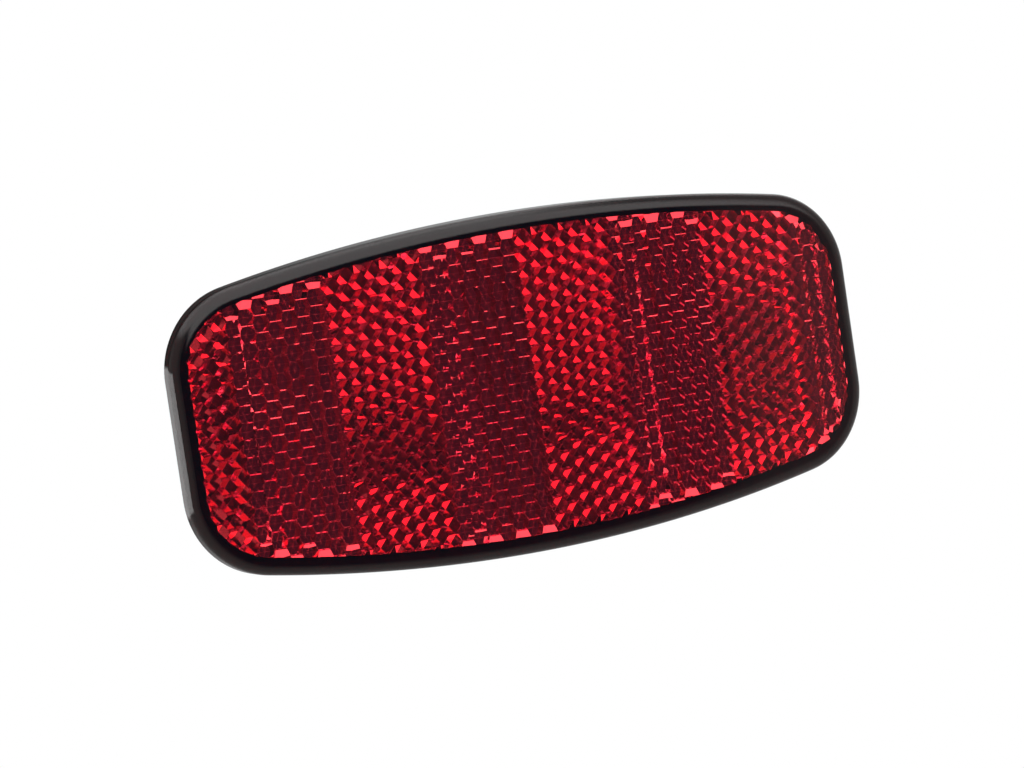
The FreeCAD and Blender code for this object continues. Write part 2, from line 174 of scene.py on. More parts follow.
# %% Helpers that turn arrays into meshes
MERGE = 1e-6


def grid_quads(rows, columns, wrap=False):
    """Quads of a grid: each takes a point, the next in its row, and the two below them."""
    across = columns if wrap else columns - 1
    row, column = np.meshgrid(np.arange(rows - 1), np.arange(across), indexing="ij")
    near = row * columns + column
    next_one = row * columns + (column + 1) % columns
    quads = np.stack([near, next_one, next_one + columns, near + columns], axis=-1)
    return quads.reshape(-1, 4)


def close_up(mesh):
    """Merges points that coincide, drops faces without area and turns faces outwards.

    Returns the number of edges that don't join exactly two faces. A closed mesh has none.
    """
    shell = bmesh.new()
    shell.from_mesh(mesh)
    bmesh.ops.remove_doubles(shell, verts=shell.verts, dist=MERGE)
    bmesh.ops.dissolve_degenerate(shell, edges=shell.edges, dist=MERGE)
    bmesh.ops.recalc_face_normals(shell, faces=shell.faces)
    open_edges = sum(not edge.is_manifold for edge in shell.edges)
    shell.to_mesh(mesh)
    shell.free()
    return open_edges


def build(name, parts):
    """Mesh object from (points, faces) parts, with coincident points merged and faces outwards."""
    points, faces, offset = [], [], 0
    for part_points, part_faces in parts:
        part_points = np.asarray(part_points).reshape(-1, 3)
        points.append(part_points)
        faces += (np.asarray(part_faces) + offset).tolist()
        offset += len(part_points)
    mesh = bpy.data.meshes.new(name)
    mesh.from_pydata(np.concatenate(points), [], faces)
    open_edges = close_up(mesh)
    piece = bpy.data.objects.new(name, mesh)
    bpy.context.scene.collection.objects.link(piece)
    print(f"{name}: {len(mesh.polygons)} faces, {open_edges} open edges")
    return piece


def shade_by_angle(piece, degrees):
    """Smooth shading, with edges sharper than the angle kept crisp."""
    smooth = np.ones(len(piece.data.polygons), dtype=bool)
    piece.data.polygons.foreach_set("use_smooth", smooth)
    piece.data.set_sharp_from_angle(angle=math.radians(degrees))


# %% [markdown]
# ## The lens, filled solid
#
# The front is part of a large upright cylinder. A rounded edge leads to the side wall, and the back
# of the rim has a groove for the plate's weld tongue. All of that is one profile carried round the
# outline. The rounded edge is measured from the curved front, so it rises and falls with it.

# %% Helpers for skins carried round the outline
def lifted(outline, y):
    """Outline points in space, at depth y."""
    return np.stack([outline[:, 0], np.broadcast_to(y, len(outline)), outline[:, 1]], axis=1)


def flat_fill(inset, y):
    """Grid that fills the outline moved in by inset, all of it at depth y."""
    x, z = fill(inset)
    return np.stack([x, np.full_like(x, y), z], axis=-1)


def closed_skin(name, front, rings, back):
    """Closed mesh from a grid in front, rings of the outline from front to back, and a grid behind."""
    skirt = np.array(rings)
    return build(name, [
        (front, grid_quads(*front.shape[:2])),
        (skirt, grid_quads(*skirt.shape[:2], wrap=True)),
        (back, grid_quads(*back.shape[:2])),
    ])


# %% Solid lens blank
ROUND_STEPS = 14
groove_width = 0.9 * MM
groove_depth = 0.6 * MM
plate_inset = 0.4 * MM
groove_middle = (plate_inset + rim_width) / 2
back_lap = 0.4 * MM


def crown(x):
    """Depth of the curved front: its apex, plus the radius less the leg of a right triangle."""
    return front_y + face_radius - np.sqrt(face_radius**2 - x**2)


def rounded_edge():
    """Rings from front to wall: r(1 - cos t) in from the outline, r(1 - sin t) behind the front."""
    rings = []
    for turn in np.linspace(math.pi / 2, 0, ROUND_STEPS + 1):
        outline = ring(front_edge_round * (1 - math.cos(turn)))
        behind = front_edge_round * (1 - math.sin(turn))
        rings.append(lifted(outline, crown(outline[:, 0]) + behind))
    return rings


def lens_blank():
    """Closed skin: curved front, rounded edge, wall, grooved back."""
    x, z = fill(front_edge_round)
    front = np.stack([x, crown(x), z], axis=-1)
    near = groove_middle - groove_width / 2
    far = groove_middle + groove_width / 2
    groove_floor = weld_y - groove_depth
    inner = rim_width + back_lap
    back_profile = [
        (0, weld_y), (near, weld_y), (near, groove_floor),
        (far, groove_floor), (far, weld_y), (inner, weld_y),
    ]
    rings = rounded_edge() + [lifted(ring(inset), y) for inset, y in back_profile]
    return closed_skin("lens_prismatic", front, rings, flat_fill(inner, weld_y))


lens = lens_blank()

# %% [markdown]
# ## The prisms
#
# Each prism is the corner of a cube seen along its diagonal. From the front it is a regular
# hexagon; its middle is the deepest point, three of its corners lie one step nearer, and the other
# three two steps nearer. Light that meets all three faces goes back the way it came.
#
# The prisms stand in upright bands, seven columns wide, and each band is turned by half a turn from
# its neighbour. A band is flat, and the bands are set back in steps to follow the curved front.
#
# The mesh built here is the air behind the lens: its front is the prism surface, and cutting it out
# of the solid lens leaves the prisms standing. All prisms are worked out together as arrays, one
# row per prism and one column per corner.

# %% Prism lattice
prism_pitch = 2.2 * MM
band_columns = 7
column_width = prism_pitch * math.sqrt(3) / 2
corner_reach = prism_pitch / math.sqrt(3)
step_depth = prism_pitch / math.sqrt(6)
field_half_width = half_width - rim_width
field_margin = 2 * corner_reach


def inside(x, z, inset):
    """Whether points lie in the outline moved in by inset: in a corner circle, or in the barrel."""
    past_x, past_z = np.abs(x) - corner_x, np.abs(z) - corner_z
    in_corner = (past_x > 0) & (past_z > 0) & (np.arctan2(past_z, past_x) < corner_turn)
    in_circle = np.hypot(past_x, past_z) <= corner_radius - inset
    between_ends = np.abs(x) <= half_width - inset
    under_arc = np.hypot(x, np.abs(z) + arc_centre) <= edge_radius - inset
    return np.where(in_corner, in_circle, between_ends & under_arc)


def place_prisms():
    """Column and half-row numbers of every prism that reaches into the field."""
    columns = math.ceil(field_half_width / column_width) + 1
    rows = math.ceil(2 * half_height / prism_pitch)
    column, row = np.meshgrid(np.arange(-columns, columns), np.arange(-rows, rows + 1), indexing="ij")
    half_row = 2 * row + (column + 1) % 2
    x = (column + 0.5) * column_width
    z = half_row * prism_pitch / 2
    reaches = inside(x, z, rim_width - field_margin)
    return column[reaches], half_row[reaches]


def pit_depth(band):
    """Nearest corners of a band: the front wall behind the curved front, at the band's outer edge."""
    outer = np.maximum(np.abs(band), np.abs(band + 1)) * band_columns * column_width
    return crown(np.minimum(outer, field_half_width)) + front_wall


prism_column, prism_half_row = place_prisms()
prism_band = prism_column // band_columns
print(f"{len(prism_column)} prisms in {len(np.unique(prism_band))} bands")


# %% Corners, peaks and neighbours of the prisms
NEIGHBOUR = np.array([(1, 1), (0, 2), (-1, 1), (-1, -1), (0, -2), (1, -1)])
prism_x = (prism_column + 0.5) * column_width
prism_z = prism_half_row * prism_pitch / 2


def prism_corners():
    """Corners by prism and number; odd and even ones differ by one step, and bands swap them."""
    number = np.arange(6)
    turn = np.radians(60 * number)
    x = prism_x[:, None] + corner_reach * np.cos(turn)
    z = prism_z[:, None] + corner_reach * np.sin(turn)
    raised = (number[None, :] + prism_band[:, None]) % 2
    y = pit_depth(prism_band)[:, None] + raised * step_depth
    return np.stack([x, y, z], axis=-1)


def prism_peaks():
    """Deepest point of each prism, two steps behind its nearest corners."""
    return np.stack([prism_x, pit_depth(prism_band) + 2 * step_depth, prism_z], axis=-1)


def neighbours():
    """Number of the prism across each edge, or -1 where there is none."""
    places = zip(prism_column.tolist(), prism_half_row.tolist())
    number = {place: index for index, place in enumerate(places)}
    across_column = prism_column[:, None] + NEIGHBOUR[:, 0]
    across_row = prism_half_row[:, None] + NEIGHBOUR[:, 1]
    across = zip(across_column.ravel().tolist(), across_row.ravel().tolist())
    return np.array([number.get(place, -1) for place in across]).reshape(across_column.shape)


print(f"{np.count_nonzero(neighbours() < 0)} edges have no prism beyond them")


# %% [markdown]
# ## Closing the air
#
# Two prisms of one band share an edge and need nothing between them. Where two bands meet, the two
# edges lie at different depths. If one edge is behind the other all along, a four-sided wall joins
# them. If they cross, each gets a point where they meet, and a triangle closes each side of it.
# Round the outside a wall runs from the last edges to a flat back.

# %% Air behind the prisms
# In square metres: two gaps whose product is smaller than this differ only by rounding.
CROSSING_LIMIT = 1e-15
air_back = weld_y + 0.8 * MM


def chosen_faces(chosen, *corners):
    """Faces of the chosen edges, one corner from each array, with points of their own."""
    points = np.stack([corner[chosen] for corner in corners], axis=1)
    return points, np.arange(points.shape[0] * points.shape[1]).reshape(points.shape[:2])


def at_back(points):
    """The points moved along y to the flat back."""
    return points * np.array([1, 0, 1]) + np.array([0, air_back, 0])


def notched(edge, beside, depth_beside):
    """Edge ends moved back to the deeper of their own depth and that of the prism beside them."""
    notch = edge.copy()
    notch[..., 1] = np.maximum(edge[..., 1], np.where(beside, depth_beside, edge[..., 1]))
    return notch


def air_behind_prisms():
    """Closed block: six faces per prism in front, walls between bands and outside, a flat back.

    Two edges cross where the gap between them changes sign. They meet at the share of the edge at
    which a gap that changes evenly is zero.
    """
    start = prism_corners()
    end = np.roll(start, -1, axis=1)
    middle = np.broadcast_to(prism_peaks()[:, None, :], start.shape)
    beyond = neighbours()
    joined = beyond >= 0
    far_start = start[beyond, (np.arange(6) + 4) % 6]
    far_end = start[beyond, (np.arange(6) + 3) % 6]
    gap_start = start[..., 1] - far_start[..., 1]
    gap_end = end[..., 1] - far_end[..., 1]
    crossing = joined & (gap_start * gap_end < -CROSSING_LIMIT)
    share = np.divide(gap_start, gap_start - gap_end, out=np.zeros_like(gap_start), where=crossing)
    meeting = start + (end - start) * share[..., None]
    once = joined & (np.arange(len(start))[:, None] < beyond)
    stepped = once & ~crossing & (np.abs(gap_start) + np.abs(gap_end) > MERGE)
    notch_start = notched(start, np.roll(joined, 1, axis=1), np.roll(far_end[..., 1], 1, axis=1))
    notch_end = notched(end, np.roll(joined, -1, axis=1), np.roll(far_start[..., 1], -1, axis=1))
    return build("air", [
        chosen_faces(~crossing, middle, start, end),
        chosen_faces(crossing, middle, start, meeting, end),
        chosen_faces(stepped, start, far_start, far_end, end),
        chosen_faces(once & crossing, start, far_start, meeting),
        chosen_faces(once & crossing, meeting, far_end, end),
        chosen_faces(~joined, start, notch_start, at_back(start), at_back(end), notch_end, end),
        (at_back(start), np.arange(start.shape[0] * 6).reshape(-1, 6)),
    ])


air = air_behind_prisms()


# %% [markdown]
# ## Cutting the prisms into the lens
#
# The air only reaches as far as the rim, so it is first cut to the rim's inner outline. What is
# left is then cut out of the solid lens. Both cuts are Boolean modifiers, applied at once so that
# the lens is a plain mesh. A cut can leave slivers, so the lens is closed up once more.

# %% Cut the prisms
LENS_CREASE = 24
plug_ends = (front_y - 1.0 * MM, air_back - 0.2 * MM)


def rim_plug():
    """Block inside the rim, from ahead of the lens to just short of the air's back."""
    front, back = (flat_fill(rim_width, y) for y in plug_ends)
    return closed_skin("plug", front, [lifted(ring(rim_width), y) for y in plug_ends], back)


def apply_boolean(piece, operation, tool):
    """Combines two closed meshes and removes the tool."""
    cut = piece.modifiers.new(operation.lower(), "BOOLEAN")
    cut.operation = operation
    cut.solver = "MANIFOLD"
    cut.object = tool
    graph = bpy.context.evaluated_depsgraph_get()
    result = bpy.data.meshes.new_from_object(piece.evaluated_get(graph))
    piece.modifiers.clear()
    piece.data = result
    bpy.data.objects.remove(tool)


apply_boolean(air, "INTERSECT", rim_plug())
apply_boolean(lens, "DIFFERENCE", air)
lens.data.name = "lens_skin"
open_edges = close_up(lens.data)
print(f"lens: {len(lens.data.polygons)} faces after the cuts, {open_edges} open edges")
shade_by_angle(lens, LENS_CREASE)
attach(lens, "root")
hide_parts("lens")


# %% [markdown]
# ## The back plate
#
# The plate is a black moulding that closes the lens from behind. Its front carries the weld tongue
# that sits in the lens's groove. Its back has a rounded rim, a raised rib that follows the outline,
# and a flat field inside it. Like the lens it is one profile carried round the outline, so its
# corners run parallel to the lens's corners. The front stays a hair behind the lens, because two
# faces in one plane flicker in a render.

# %% Plate panel
ARC_POINTS = 6
weld_gap = 0.02 * MM
plate_front = weld_y + weld_gap
plate_back = -3.4 * MM
plate_edge_round = 0.5 * MM
front_lap = 1.0 * MM
tongue_half_width = 0.35 * MM
tongue_tip = weld_y - 0.5 * MM
rib_inset = 6.0 * MM
rib_width = 1.4 * MM
rib_top = -1.8 * MM
rib_round = 0.25 * MM
rib_fillet = 0.35 * MM
fillet_y = plate_back + rib_fillet
crest_y = rib_top - rib_round


def arc_points(centre, radius, start, end):
    """Points on an arc in the profile: centre plus radius along angles from start to end, degrees."""
    angle = np.radians(np.linspace(start, end, ARC_POINTS))
    across = centre[0] + radius * np.cos(angle)
    along = centre[1] + radius * np.sin(angle)
    return list(zip(across, along))


def panel_profile():
    """Inset and depth of each ring, from the front field round the rim to the field behind."""
    inner = groove_middle + tongue_half_width
    outer = groove_middle - tongue_half_width
    edge = (plate_inset + plate_edge_round, plate_back - plate_edge_round)
    rib_far = rib_inset + rib_width
    return [
        (inner + front_lap, plate_front), (inner, plate_front), (inner, tongue_tip),
        (outer, tongue_tip), (outer, plate_front), (plate_inset, plate_front),
        *arc_points(edge, plate_edge_round, 180, 90),
        *arc_points((rib_inset - rib_fillet, fillet_y), rib_fillet, -90, 0),
        *arc_points((rib_inset + rib_round, crest_y), rib_round, 180, 90),
        *arc_points((rib_far - rib_round, crest_y), rib_round, 90, 0),
        *arc_points((rib_far + rib_fillet, fillet_y), rib_fillet, 180, 270),
    ]


def plate_panel():
    """Closed skin: front field, rings of the profile, back field."""
    profile = panel_profile()
    front = flat_fill(profile[0][0], plate_front)
    back = flat_fill(profile[-1][0], plate_back)
    rings = [lifted(ring(inset), y) for inset, y in profile]
    return closed_skin("black_back_plate", front, rings, back)


plate = plate_panel()

# %% [markdown]
# ## Bosses and the middle rib
#
# Each bolt leaves the plate through a round boss, whose flat end is the mounting face. A boss is a
# profile turned about the bolt's axis. A level rib joins the bosses to the rim rib; its profile is
# carried along a straight path. A small fillet at the foot of each is what a moulding tool leaves,
# and it catches a soft line of light.

# %% Bosses and rib joined to the panel
TURN_STEPS = 96
RIB_SECTIONS = 3
stud_x = 25 * MM
boss_radius = 7.0 * MM
boss_round = 0.6 * MM
sunk_y = plate_back - 0.8 * MM


def full_turn():
    """Angles of one turn; their number is a multiple of six, so a hexagon's corners are among them."""
    return np.linspace(0, 2 * math.pi, TURN_STEPS, endpoint=False)


def turned(name, profile, centre_x):
    """Solid of revolution about an axis along y: each profile radius swept through a full turn.

    A radius may be an array over the turn, which gives hexagons and threads.
    """
    turn = full_turn()
    radius = np.array([np.broadcast_to(r, TURN_STEPS) for r, y in profile])
    depth = np.array([y for r, y in profile])
    points = np.stack([
        centre_x + radius * np.cos(turn),
        np.broadcast_to(depth[:, None], radius.shape),
        radius * np.sin(turn),
    ], axis=-1)
    return build(name, [(points, grid_quads(*points.shape[:2], wrap=True))])


def boss(centre_x):
    """Boss with a fillet at its foot and a rounded end."""
    foot = boss_radius + rib_fillet
    return turned("boss", [
        (0, sunk_y), (foot, sunk_y),
        *arc_points((foot, fillet_y), rib_fillet, 270, 180),
        *arc_points((boss_radius - boss_round, -boss_round), boss_round, 0, 90),
        (0, 0),
    ], centre_x)


def middle_rib():
    """Bar along x: half a profile from foot to top, mirrored, carried across to the rim rib."""
    half = rib_width / 2
    foot = half + rib_fillet
    right = [
        (foot, sunk_y),
        *arc_points((foot, fillet_y), rib_fillet, 270, 180),
        *arc_points((half - rib_round, crest_y), rib_round, 0, 90),
    ]
    profile = np.array(right + [(-z, y) for z, y in right[::-1]])
    reach = half_width - rib_inset - half
    sections = np.array([
        np.stack([np.full(len(profile), x), profile[:, 1], profile[:, 0]], axis=1)
        for x in np.linspace(-reach, reach, RIB_SECTIONS)
    ])
    ends = np.arange(len(profile))[None, :]
    return build("rib", [
        (sections, grid_quads(*sections.shape[:2], wrap=True)),
        (sections[0], ends),
        (sections[-1], ends),
    ])


for tool in (middle_rib(), boss(-stud_x), boss(stud_x)):
    apply_boolean(plate, "UNION", tool)

# %% [markdown]
# ## Pockets for the bolt heads
#
# Each head sits in a hexagon pocket that opens to the front, and its neck passes through a round
# hole. Both are cut with one turned tool. A hexagon's radius at an angle is half its width over
# flats, divided by the cosine of the angle from the middle of the nearest flat.

# %% Pockets and holes
PLATE_CREASE = 30
head_floor = -1.4 * MM
pocket_flats = 8.2 * MM
hole_radius = 2.9 * MM
tool_front = tongue_tip - 1.0 * MM
tool_back = 1.0 * MM


def hexagon(flats):
    """Radius of a hexagon over a full turn, with a corner at angle zero."""
    return flats / 2 / np.cos(full_turn() % (math.pi / 3) - math.pi / 6)


def pocket(centre_x):
    """Hexagon block as deep as the head, with the neck hole's cylinder behind it."""
    six = hexagon(pocket_flats)
    return turned("pocket", [
        (0, tool_front), (six, tool_front), (six, head_floor),
        (hole_radius, head_floor), (hole_radius, tool_back), (0, tool_back),
    ], centre_x)


for centre_x in (-stud_x, stud_x):
    apply_boolean(plate, "DIFFERENCE", pocket(centre_x))
open_edges = close_up(plate.data)
print(f"back plate: {len(plate.data.polygons)} faces after the cuts, {open_edges} open edges")
shade_by_angle(plate, PLATE_CREASE)
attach(plate, "root")
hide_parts("back_plate")

# %% [markdown]
# ## The bolts
#
# Each bolt has a hexagon head with a chamfered face, a plain neck and a threaded stud. All of it is
# one turned surface whose radius may change round the turn. The thread is the interesting part. At
# each point its phase is the distance along the stud in pitches, less the share of a full turn, so
# the phase advances by one pitch per turn. The phase then reads off a V with a flat crest and root.

# %% Bolts
BOLT_CREASE = 28
ROWS_PER_PITCH = 20
CHAMFER_ROWS = 8
head_front = -4.9 * MM
head_flats = 8.0 * MM
head_chamfer_radius = 3.75 * MM
head_chamfer_depth = 0.55 * MM
head_chamfer_slope = 1.7
neck_radius = 2.8 * MM
stud_radius = 2.5 * MM
stud_tip = 12 * MM
tip_chamfer = 0.8 * MM
thread_pitch = 0.8 * MM
thread_depth = 0.46 * MM
flank_slope = 2.6
root_flat = 0.15
runout_end = 1.2 * MM


def thread_radius(y, turn):
    """Crest radius less the groove's depth, fading in at the neck, and no more than the tip's chamfer.

    The groove is one minus a triangle wave of the phase, clipped for the flat crest and root.
    """
    phase = (y / thread_pitch - turn / (2 * math.pi)) % 1
    wave = np.clip(flank_slope * np.abs(phase - 0.5) - root_flat, 0, 1)
    fade = np.clip(y / runout_end, 0, 1) ** 2
    chamfered = stud_radius - np.maximum(y - (stud_tip - tip_chamfer), 0)
    return np.minimum(stud_radius - thread_depth * (1 - wave) * fade, chamfered)


def bolt(name, centre_x):
    """Head, neck and threaded stud as one turned surface."""
    six = hexagon(head_flats)
    chamfer = [
        (np.minimum(six, head_chamfer_radius + head_chamfer_slope * rise), head_front + rise)
        for rise in np.linspace(0, head_chamfer_depth, CHAMFER_ROWS)
    ]
    rows = np.linspace(0, stud_tip, round(stud_tip / thread_pitch * ROWS_PER_PITCH) + 1)
    return turned(name, [
        (0, head_front), *chamfer, (six, head_floor),
        (neck_radius, head_floor), (neck_radius, 0),
        *[(thread_radius(y, full_turn()), y) for y in rows],
        (0, stud_tip),
    ], centre_x)


bolts = [bolt("left_bolt", -stud_x), bolt("right_bolt", stud_x)]
for piece in bolts:
    shade_by_angle(piece, BOLT_CREASE)
    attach(piece, "root")
    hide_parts("mounting_bolts")

# %% [markdown]
# ## Clear red plastic
#
# The lens is clear acrylic with a red dye. It bends light with an index of 1.49, and the dye lets
# red through and takes nearly all green and blue. The outer skin is polished, but no skin stays
# perfect: a light haze of wear changes its roughness, by less than the eye notices at first.

# %% Helpers for materials
def new_material(name):
    """Material with a Principled shader; returns it with its tree and shader."""
    material = bpy.data.materials.new(name)
    material.use_nodes = True
    tree = material.node_tree
    return material, tree, tree.nodes["Principled BSDF"]


def noise(tree, scale, detail, stretch=(1, 1, 1)):
    """Noise on Object coordinates; scale counts blotches per metre."""
    place = tree.nodes.new("ShaderNodeTexCoord")
    mapping = tree.nodes.new("ShaderNodeMapping")
    mapping.inputs["Scale"].default_value = stretch
    texture = tree.nodes.new("ShaderNodeTexNoise")
    texture.inputs["Scale"].default_value = scale
    texture.inputs["Detail"].default_value = detail
    tree.links.new(place.outputs["Object"], mapping.inputs["Vector"])
    tree.links.new(mapping.outputs["Vector"], texture.inputs["Vector"])
    return texture.outputs["Fac"]


def spread(tree, value, low, high, start=0.3, end=0.7):
    """Maps a value from start..end to low..high."""
    node = tree.nodes.new("ShaderNodeMapRange")
    node.inputs["From Min"].default_value = start
    node.inputs["From Max"].default_value = end
    node.inputs["To Min"].default_value = low
    node.inputs["To Max"].default_value = high
    tree.links.new(value, node.inputs["Value"])
    return node.outputs["Result"]


def two_tone(tree, share, first, second):
    """Colour that goes from the first to the second as the share goes from 0 to 1."""
    node = tree.nodes.new("ShaderNodeMixRGB")
    node.inputs["Color1"].default_value = first
    node.inputs["Color2"].default_value = second
    tree.links.new(share, node.inputs["Fac"])
    return node.outputs["Color"]


def mix_shaders(tree, first, second):
    """Node that mixes two shaders; its Fac is the share of the second."""
    node = tree.nodes.new("ShaderNodeMixShader")
    tree.links.new(first, node.inputs[1])
    tree.links.new(second, node.inputs[2])
    return node


def bump(tree, shader, height, strength, distance):
    """Tilts the shader's normal by a height pattern."""
    node = tree.nodes.new("ShaderNodeBump")
    node.inputs["Strength"].default_value = strength
    node.inputs["Distance"].default_value = distance
    tree.links.new(height, node.inputs["Height"])
    tree.links.new(node.outputs["Normal"], shader.inputs["Normal"])


# %% Polished lens skin
LENS_RED = (0.97, 0.050, 0.066, 1)
ACRYLIC_INDEX = 1.49

skin, tree, shader = new_material("polished_red_acrylic")
shader.inputs["Base Color"].default_value = LENS_RED
shader.inputs["IOR"].default_value = ACRYLIC_INDEX
shader.inputs["Transmission Weight"].default_value = 1.0
wear = noise(tree, scale=900, detail=6.0, stretch=(1, 1, 3))
haze_of_wear = spread(tree, wear, low=0.0, high=0.012, start=0.5, end=0.8)
tree.links.new(haze_of_wear, shader.inputs["Roughness"])

# %% [markdown]
# ## Prism facets
#
# The facets are the same plastic, so for light inside the lens they are clear and mirror it by
# total reflection. A viewer that cannot follow light through a prism would see nothing there. For
# such a viewer each facet also has a plain red, and that red is painted light: the shader is clear
# once a ray has passed through the skin, and plain red for a ray that meets the facet directly. The
# plain red is a painted glint, pale on the lower part of each prism, in every second band and at the
# right end, and painted shade, dark elsewhere, as the lens looks in the photograph.
#
# No moulded edge is quite sharp. A Bevel node bends the normals within a few hundredths of a
# millimetre of each edge between facets, and that draws the thin lines of light that run between
# the prisms. A very little diffuse red stands for the haze of the plastic itself.

# %% Facet material
EDGE_ROUND = 0.04 * MM
THIN_RED = (0.985, 0.42, 0.75, 1)
PAINTED_SHADE_FACET = (0.16, 0.003, 0.008, 1)
PAINTED_GLINT_FACET = (0.85, 0.018, 0.016, 1)
HAZE_RED = (0.60, 0.02, 0.20, 1)
HAZE_SHARE = 0.02

facets, tree, shader = new_material("red_prism_facets")
shader.inputs["Roughness"].default_value = 0.25
# Painted glints and painted shade on the facets, for rays that meet them directly.
glint_reader = tree.nodes.new("ShaderNodeAttribute")
glint_reader.attribute_name = "facet_painted_light"
painted_facet_red = two_tone(tree, glint_reader.outputs["Fac"], PAINTED_SHADE_FACET, PAINTED_GLINT_FACET)
tree.links.new(painted_facet_red, shader.inputs["Base Color"])
clear = tree.nodes.new("ShaderNodeBsdfPrincipled")
clear.inputs["Base Color"].default_value = THIN_RED
clear.inputs["IOR"].default_value = ACRYLIC_INDEX
clear.inputs["Roughness"].default_value = 0.0
clear.inputs["Transmission Weight"].default_value = 1.0
soft = tree.nodes.new("ShaderNodeBevel")
soft.inputs["Radius"].default_value = EDGE_ROUND
tree.links.new(soft.outputs["Normal"], clear.inputs["Normal"])
haze = tree.nodes.new("ShaderNodeBsdfDiffuse")
haze.inputs["Color"].default_value = HAZE_RED
cloudy = mix_shaders(tree, clear.outputs["BSDF"], haze.outputs["BSDF"])
cloudy.inputs["Fac"].default_value = HAZE_SHARE
path = tree.nodes.new("ShaderNodeLightPath")
either = mix_shaders(tree, shader.outputs["BSDF"], cloudy.outputs["Shader"])
tree.links.new(path.outputs["Transmission Depth"], either.inputs["Fac"])
tree.links.new(either.outputs["Shader"], tree.nodes["Material Output"].inputs["Surface"])


# %% [markdown]
# ## The weld seam
#
# Where the lens's rim is welded to the plate the two plastics have run together. No air is left
# between them, so light that reaches the seam goes into the black plastic and stays there. That is
# why the rim looks black from the front, although its plastic is as clear as the rest.

# %% Weld seam material
seam, tree, shader = new_material("black_weld_seam")
melt = noise(tree, scale=1500, detail=3.0)
tree.links.new(spread(tree, melt, low=0.5, high=0.8), shader.inputs["Roughness"])
shader.inputs["Base Color"].default_value = (0.010, 0.009, 0.009, 1)
shader.inputs["Specular IOR Level"].default_value = 0.1


# %% Helpers that share a mesh between materials
SLACK = 0.01 * MM


def face_values(mesh, name):
    """One vector per face, read in one go."""
    values = np.empty(len(mesh.polygons) * 3)
    mesh.polygons.foreach_get(name, values)
    return values.reshape(-1, 3)


def dress(piece, materials, choice):
    """Gives a piece its materials, and each face the number of the one it takes."""
    piece.data.materials.clear()
    for material in materials:
        piece.data.materials.append(material)
    piece.data.polygons.foreach_set("material_index", choice.astype(np.int32))


# %% Share the lens between skin, facets and seam
# Where the facets' painted glints fall: every second band, the right end and the lower sector of each
# prism.
LOWER_SECTOR = (-125, -55)
RIGHT_END_BAND = 3
GLINT_BAND_LEVELS = (1.0, 0.35)
SHADE_BAND_LEVELS = (0.25, 0.08)
SKIN, FACET, SEAM = 0, 1, 2
facet_limit = weld_y - 0.3 * MM
seam_limit = weld_y - groove_depth - SLACK


def painted_glint_levels(x, z):
    """Painted light of a facet: painted glints, high in the pale bands and in the lower sector of a
    prism, and painted shade, low elsewhere.

    The band follows from the column, the sector from the angle about the nearest prism axis.
    """
    column = np.floor(x / column_width).astype(int)
    band = column // band_columns
    offset = (column + 1) % 2
    row = np.round((z / (prism_pitch / 2) - offset) / 2)
    across = x - (column + 0.5) * column_width
    up = z - (2 * row + offset) * prism_pitch / 2
    angle = np.degrees(np.arctan2(up, across))
    lower = (angle > LOWER_SECTOR[0]) & (angle < LOWER_SECTOR[1])
    pale = (band % 2 == 0) | (band == RIGHT_END_BAND)
    return np.where(pale, np.where(lower, *GLINT_BAND_LEVELS), np.where(lower, *SHADE_BAND_LEVELS))


x, y, z = face_values(lens.data, "center").T
in_field = inside(x, z, rim_width + SLACK)
in_rim = ~inside(x, z, rim_width - SLACK)
looks_back_or_front = np.abs(face_values(lens.data, "normal")[:, 1]) > 0.5
is_facet = in_field & (y > crown(x) + front_wall / 2) & (y < facet_limit)
is_seam = in_rim & (y > seam_limit) & looks_back_or_front
dress(lens, [skin, facets, seam], np.where(is_seam, SEAM, np.where(is_facet, FACET, SKIN)))
# Painted light per lens face: painted glints near 1, painted shade near 0.
facet_light_layer = lens.data.attributes.new("facet_painted_light", "FLOAT", "FACE")
facet_light_layer.data.foreach_set("value", painted_glint_levels(x, z).astype(np.float32))
print(f"facets: {is_facet.sum()} and seam: {is_seam.sum()} of {len(x)} lens faces")

# %% [markdown]
# ## Black plate plastic
#
# The plate is black and matt: the tool that moulds it is spark-eroded, which leaves a fine, even
# grain. A fine noise tilts the surface for the grain, and a broader one shifts the gloss a little,
# as handling does.
#
# The inside of the plate came from a polished tool and is glossy. It can't be touched, but it
# matters: light that slips out of one prism is mirrored by it and lights up the next.

# %% Plate material
black, tree, shader = new_material("grained_black_plastic")
handled = noise(tree, scale=120, detail=3.0)
grey = two_tone(tree, handled, (0.012, 0.012, 0.013, 1), (0.022, 0.021, 0.021, 1))
tree.links.new(grey, shader.inputs["Base Color"])
tree.links.new(spread(tree, handled, low=0.42, high=0.58), shader.inputs["Roughness"])
grain = noise(tree, scale=5200, detail=2.0)
bump(tree, shader, grain, strength=0.35, distance=0.06 * MM)

gloss, tree, shader = new_material("polished_black_plastic")
shader.inputs["Base Color"].default_value = (0.075, 0.068, 0.064, 1)
flow = noise(tree, scale=300, detail=3.0)
tree.links.new(spread(tree, flow, low=0.04, high=0.09), shader.inputs["Roughness"])

x, y, z = face_values(plate.data, "center").T
is_inner = (y < plate_front + SLACK) & inside(x, z, rim_width)
dress(plate, [black, gloss], is_inner)
print(f"glossy inside: {is_inner.sum()} of {len(x)} plate faces")

# %% [markdown]
# ## Zinc-plated steel
#
# The bolts are steel with a thin zinc coat: pale, slightly blue metal, with cloudy patches and fine
# marks that run round the stud where the thread was rolled. The heads are lacquered black, so that
# they don't show through the lens.

